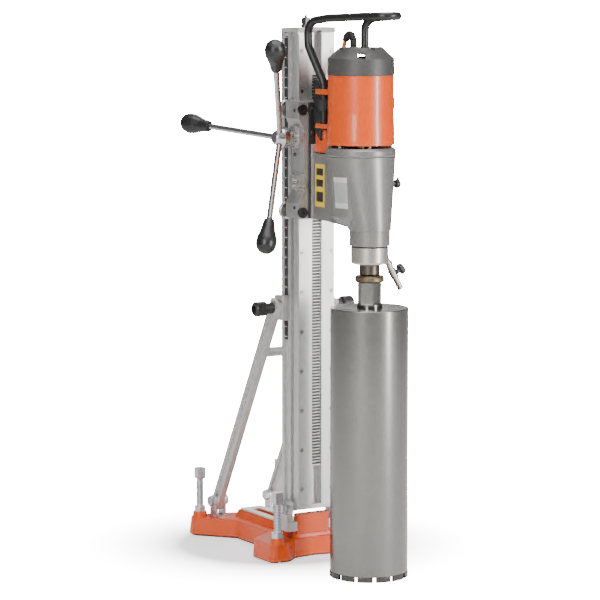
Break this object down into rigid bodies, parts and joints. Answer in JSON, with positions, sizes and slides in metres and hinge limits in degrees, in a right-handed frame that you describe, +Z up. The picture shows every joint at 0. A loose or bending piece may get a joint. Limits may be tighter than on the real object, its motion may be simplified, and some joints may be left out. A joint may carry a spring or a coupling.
{
  "type": "core drill rig",
  "caption": "Rig-mounted core drill: anchored base with levelling screws, braced tilting column, geared carriage, electric motor, gearbox, water collar and core bit.",
  "frame": {"origin": "on the floor, in the base's anchor slot, under the middle of the four levelling screws", "axes": "+Z up along the column, -Y to the front where the drill hangs, +X to the operator's right seen from the front of the drill looking to the column; the feed handle is at -X"},
  "size_m": [0.3157, 0.6215, 1.101],
  "materials": {
    "orange_casting": "gloss orange paint on cast aluminium",
    "black_rubber": "matt black rubber",
    "zinc_sheet": "bright zinc sheet",
    "silver_casting": "machined cast aluminium",
    "bright_zinc": "bright zinc",
    "zinc_hardware": "zinc plated steel",
    "zinc_screw": "bluish zinc plated thread",
    "anodised": "light natural anodised extrusion",
    "anodised_plate": "light natural anodised strip",
    "dark_screw": "dark steel screw heads",
    "rail_steel": "ground steel rail",
    "scale_strip": "black printed strip with white ticks",
    "end_plate": "machined aluminium",
    "rack_steel": "oiled cut steel teeth",
    "cap_grey": "dark grey moulded plastic",
    "black_hardware": "black oxide steel",
    "brace_bar": "extruded aluminium",
    "cross_bar": "plain aluminium bar",
    "black_plastic": "black moulded plastic",
    "carriage_grey": "grey satin paint on a casting",
    "axle_black": "black ring with a bright centre",
    "roller_steel": "ground steel",
    "mount_black": "black satin plate",
    "hub_dark": "dark satin metal",
    "spoke_steel": "bright turned rod",
    "grip_black": "black semi gloss grips",
    "adapter_aluminium": "machined aluminium",
    "gearbox_grey": "grey textured paint on cast aluminium",
    "flange_grey": "grey satin paint",
    "gear_steel": "cut steel",
    "rotor_core": "laminated steel with windings",
    "spindle_steel": "ground steel",
    "nut_olive": "olive brown plated ring nut",
    "bit_steel": "brushed steel tube with sintered segments",
    "collar_silver": "turned aluminium",
    "brass_fitting": "brass hose fitting",
    "valve_plastic": "black moulded plastic",
    "orange_shell": "glossy orange plastic",
    "cap_plastic": "dark grey moulded plastic",
    "stator_core": "laminated steel with windings",
    "switch_black": "black moulded plastic",
    "switch_rocker": "dark red rocker",
    "selector_black": "black moulded plastic",
    "handle_black": "black coated tube",
    "boot_rubber": "ribbed black rubber",
    "cord_orange": "orange cable sheath",
    "plug_rubber": "black moulded plug",
    "strap_fabric": "black woven strap"
  },
  "bodies": {
    "base": {"base_plate": "orange_casting", "base_seal": "black_rubber", "slot_plate": "zinc_sheet", "column_saddle": "silver_casting", "brace_brackets": "bright_zinc", "pivot_bolts": "zinc_hardware", "levelling_nuts": "zinc_hardware"},
    "column": {"column_extrusion": "anodised", "face_plates": "anodised_plate", "face_plate_screws": "dark_screw", "guide_rails": "rail_steel", "depth_scale": "scale_strip", "column_end_plate": "end_plate", "gear_rack": "rack_steel", "column_cap": "cap_grey"},
    "jack": {"jack_screw": "black_hardware"},
    "clamps": {"brace_clamps": "silver_casting"},
    "braces": {"left_brace": "brace_bar", "right_brace": "brace_bar", "brace_cross_bar": "cross_bar", "brace_knobs": "black_plastic"},
    "carriage": {"carriage_body": "carriage_grey", "roller_axles": "axle_black", "mount_plate": "mount_black", "drill_adapter": "adapter_aluminium", "gearbox_housing": "gearbox_grey", "spindle_bearing": "roller_steel", "gearbox_flange": "flange_grey", "water_collar": "collar_silver", "water_inlet": "brass_fitting", "motor_housing": "orange_shell", "motor_cap": "cap_plastic", "stator": "stator_core", "switch_box": "switch_black", "carry_handle": "handle_black", "cable_boot": "boot_rubber", "cord_tube": "cord_orange", "cord_hank": "cord_orange", "plug": "plug_rubber", "cable_strap": "strap_fabric"},
    "lock": {"lock_lever": "zinc_hardware"},
    "feed": {"feed_hub": "hub_dark", "feed_spokes": "spoke_steel", "feed_knobs": "grip_black"},
    "spindle": {"spindle": "spindle_steel", "spindle_nut": "nut_olive", "core_bit": "bit_steel"},
    "layshaft": {"layshaft": "gear_steel"},
    "rotor": {"rotor": "rotor_core"},
    "selector": {"gear_selector": "selector_black"},
    "valve": {"valve_knob": "valve_plastic"},
    "switch": {"power_switch": "switch_rocker"},
    "screw_front_left": {"levelling_screw_front_left": "zinc_screw"},
    "screw_front_right": {"levelling_screw_front_right": "zinc_screw"},
    "screw_rear_left": {"levelling_screw_rear_left": "zinc_screw"},
    "screw_rear_right": {"levelling_screw_rear_right": "zinc_screw"},
    "roller_low_left": {"roller_low_left": "roller_steel"},
    "roller_low_right": {"roller_low_right": "roller_steel"},
    "roller_high_left": {"roller_high_left": "roller_steel"},
    "roller_high_right": {"roller_high_right": "roller_steel"}
  },
  "joints": [
    {"name": "level_front_left", "type": "slide", "parent": "base", "child": "screw_front_left", "axis": [0, 0, 1], "range_m": [-0.004, 0.025]},
    {"name": "level_front_right", "type": "slide", "parent": "base", "child": "screw_front_right", "axis": [0, 0, 1], "range_m": [-0.004, 0.025]},
    {"name": "level_rear_left", "type": "slide", "parent": "base", "child": "screw_rear_left", "axis": [0, 0, 1], "range_m": [-0.004, 0.025]},
    {"name": "level_rear_right", "type": "slide", "parent": "base", "child": "screw_rear_right", "axis": [0, 0, 1], "range_m": [-0.004, 0.025]},
    {"name": "column_tilt", "type": "hinge", "parent": "base", "child": "column", "pos_m": [0, -0.123, 0.1], "axis": [-1, 0, 0], "range_deg": [0, 45]},
    {"name": "brace_swing", "type": "hinge", "parent": "base", "child": "braces", "pos_m": [0, 0.14, 0.073], "axis": [-1, 0, 0], "range_deg": [0, 52.6]},
    {"name": "clamp_slide", "type": "slide", "parent": "column", "child": "clamps", "axis": [0, 0, 1], "range_m": [0, 0.222]},
    {"name": "jack_raise", "type": "slide", "parent": "column", "child": "jack", "axis": [0, 0, 1], "range_m": [0, 0.06]},
    {"name": "carriage_travel", "type": "slide", "parent": "column", "child": "carriage", "axis": [0, 0, 1], "range_m": [-0.49, 0.1]},
    {"name": "feed_turn", "type": "hinge", "parent": "carriage", "child": "feed", "pos_m": [0, -0.1655, 0.851], "axis": [1, 0, 0], "range_deg": [-440, 1760]},
    {"name": "lock_turn", "type": "hinge", "parent": "carriage", "child": "lock", "pos_m": [-0.054, -0.165, 0.762], "axis": [1, 0, 0], "range_deg": [-60, 0]},
    {"name": "spindle_turn", "type": "hinge", "parent": "carriage", "child": "spindle", "pos_m": [0, -0.3525, 0.6], "axis": [0, 0, 1], "continuous": true},
    {"name": "layshaft_turn", "type": "hinge", "parent": "carriage", "child": "layshaft", "pos_m": [0.0228, -0.3354, 0.78], "axis": [0, 0, 1], "continuous": true},
    {"name": "rotor_turn", "type": "hinge", "parent": "carriage", "child": "rotor", "pos_m": [0, -0.319, 0.9], "axis": [0, 0, 1], "continuous": true},
    {"name": "selector_turn", "type": "hinge", "parent": "carriage", "child": "selector", "pos_m": [0.05, -0.345, 0.766], "axis": [1, 0, 0], "range_deg": [-60, 60]},
    {"name": "valve_turn", "type": "hinge", "parent": "carriage", "child": "valve", "pos_m": [0.05, -0.3605, 0.59136], "axis": [0.866, 0, 0.5], "range_deg": [0, 90]},
    {"name": "switch_rock", "type": "hinge", "parent": "carriage", "child": "switch", "pos_m": [0, -0.2104, 0.933], "axis": [1, 0, 0], "range_deg": [-5, 5]},
    {"name": "roller_low_left_roll", "type": "hinge", "parent": "carriage", "child": "roller_low_left", "pos_m": [-0.0545, -0.127, 0.703], "axis": [0, 1, 0], "range_deg": [-1650, 450]},
    {"name": "roller_low_right_roll", "type": "hinge", "parent": "carriage", "child": "roller_low_right", "pos_m": [0.0545, -0.127, 0.703], "axis": [0, 1, 0], "range_deg": [-450, 1650]},
    {"name": "roller_high_left_roll", "type": "hinge", "parent": "carriage", "child": "roller_high_left", "pos_m": [-0.0545, -0.127, 0.906], "axis": [0, 1, 0], "range_deg": [-1650, 450]},
    {"name": "roller_high_right_roll", "type": "hinge", "parent": "carriage", "child": "roller_high_right", "pos_m": [0.0545, -0.127, 0.906], "axis": [0, 1, 0], "range_deg": [-450, 1650]}
  ],
  "couplings": [
    {"joint": "brace_swing", "follows": "column_tilt", "ratio": 1.165},
    {"joint": "clamp_slide", "follows": "column_tilt", "m_per_rad": 0.2818},
    {"joint": "feed_turn", "follows": "carriage_travel", "rad_per_m": -62.5},
    {"joint": "layshaft_turn", "follows": "spindle_turn", "ratio": -2.8},
    {"joint": "rotor_turn", "follows": "spindle_turn", "ratio": 11.2},
    {"joint": "roller_low_left_roll", "follows": "carriage_travel", "rad_per_m": 56.497},
    {"joint": "roller_low_right_roll", "follows": "carriage_travel", "rad_per_m": -56.497},
    {"joint": "roller_high_left_roll", "follows": "carriage_travel", "rad_per_m": 56.497},
    {"joint": "roller_high_right_roll", "follows": "carriage_travel", "rad_per_m": -56.497}
  ]
}
